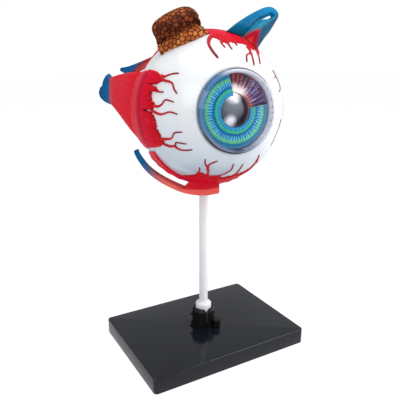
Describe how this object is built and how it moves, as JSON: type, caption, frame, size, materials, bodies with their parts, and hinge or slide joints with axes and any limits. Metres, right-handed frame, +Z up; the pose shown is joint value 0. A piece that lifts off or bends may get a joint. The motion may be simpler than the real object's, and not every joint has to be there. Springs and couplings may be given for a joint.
{
  "type": "eye anatomy model",
  "caption": "Take-apart anatomical eye on a rod and flat stand: split eyeball with layers, lens, cut-away iris, clear cornea, straight and slanting muscles and tear gland.",
  "frame": {"origin": "centre of the base plate's underside, where the model stands on a table", "axes": "+Z up along the rod, +X along the base plate's long edge, -Y towards the side the eye looks out of"},
  "size_m": [0.107, 0.1127, 0.207],
  "materials": {
    "base_charcoal": "gloss",
    "socket_black": "gloss",
    "rod_white": "gloss",
    "sclera_white": "gloss",
    "choroid_brown": "satin",
    "retina_orange": "satin",
    "vitreous_clear": "clear gloss",
    "lens_grey": "clear gloss",
    "ciliary_purple": "satin",
    "iris_blue": "gloss",
    "cornea_clear": "clear gloss",
    "nerve_cream": "satin",
    "nerve_yellow": "satin",
    "central_vessel_red": "satin",
    "muscle_red": "satin",
    "muscle_dark_red": "satin",
    "pad_red": "satin",
    "vessel_red": "satin",
    "tendon_blue": "satin",
    "muscle_coral": "satin",
    "gland_brown": "satin"
  },
  "bodies": {
    "stand": {"base_plate": "base_charcoal", "socket_clip": "socket_black"},
    "rod": {"support_rod": "rod_white"},
    "eye_back": {"sclera_back": "sclera_white", "choroid_back": "choroid_brown", "retina_back": "retina_orange", "nerve_sheath": "nerve_cream", "optic_nerve": "nerve_yellow", "central_vessels": "central_vessel_red", "lateral_rectus": "muscle_red", "medial_rectus": "muscle_red", "superior_rectus": "muscle_dark_red", "inferior_rectus": "muscle_dark_red"},
    "vitreous": {"vitreous_body": "vitreous_clear"},
    "lens": {"lens": "lens_grey"},
    "front_shell": {"sclera_front": "sclera_white", "choroid_front": "choroid_brown", "retina_front": "retina_orange", "ciliary_body": "ciliary_purple", "lateral_insertion": "pad_red", "superior_insertion": "pad_red", "inferior_insertion": "pad_red", "nasal_vessels": "vessel_red", "superior_oblique": "tendon_blue", "inferior_oblique": "muscle_coral", "lacrimal_gland": "gland_brown"},
    "iris": {"iris": "iris_blue"},
    "cornea": {"cornea": "cornea_clear"}
  },
  "joints": [
    {"name": "rod_lift", "type": "slide", "parent": "stand", "child": "rod", "axis": [0, 0, 1], "range_m": [0, 0.02]},
    {"name": "eyeball_turn", "type": "hinge", "parent": "rod", "child": "eye_back", "pos_m": [0, 0, 0.1096], "axis": [0, 0, 1], "continuous": true},
    {"name": "vitreous_pull", "type": "slide", "parent": "eye_back", "child": "vitreous", "axis": [-0.1459, -0.9878, 0.0541], "range_m": [0, 0.04]},
    {"name": "lens_pull", "type": "slide", "parent": "vitreous", "child": "lens", "axis": [-0.1459, -0.9878, 0.0541], "range_m": [0, 0.018]},
    {"name": "front_shell_pull", "type": "slide", "parent": "lens", "child": "front_shell", "axis": [-0.1459, -0.9878, 0.0541], "range_m": [0, 0.035]},
    {"name": "iris_pull", "type": "slide", "parent": "front_shell", "child": "iris", "axis": [-0.1459, -0.9878, 0.0541], "range_m": [0, 0.02]},
    {"name": "cornea_pull", "type": "slide", "parent": "iris", "child": "cornea", "axis": [-0.1459, -0.9878, 0.0541], "range_m": [0, 0.025]}
  ]
}
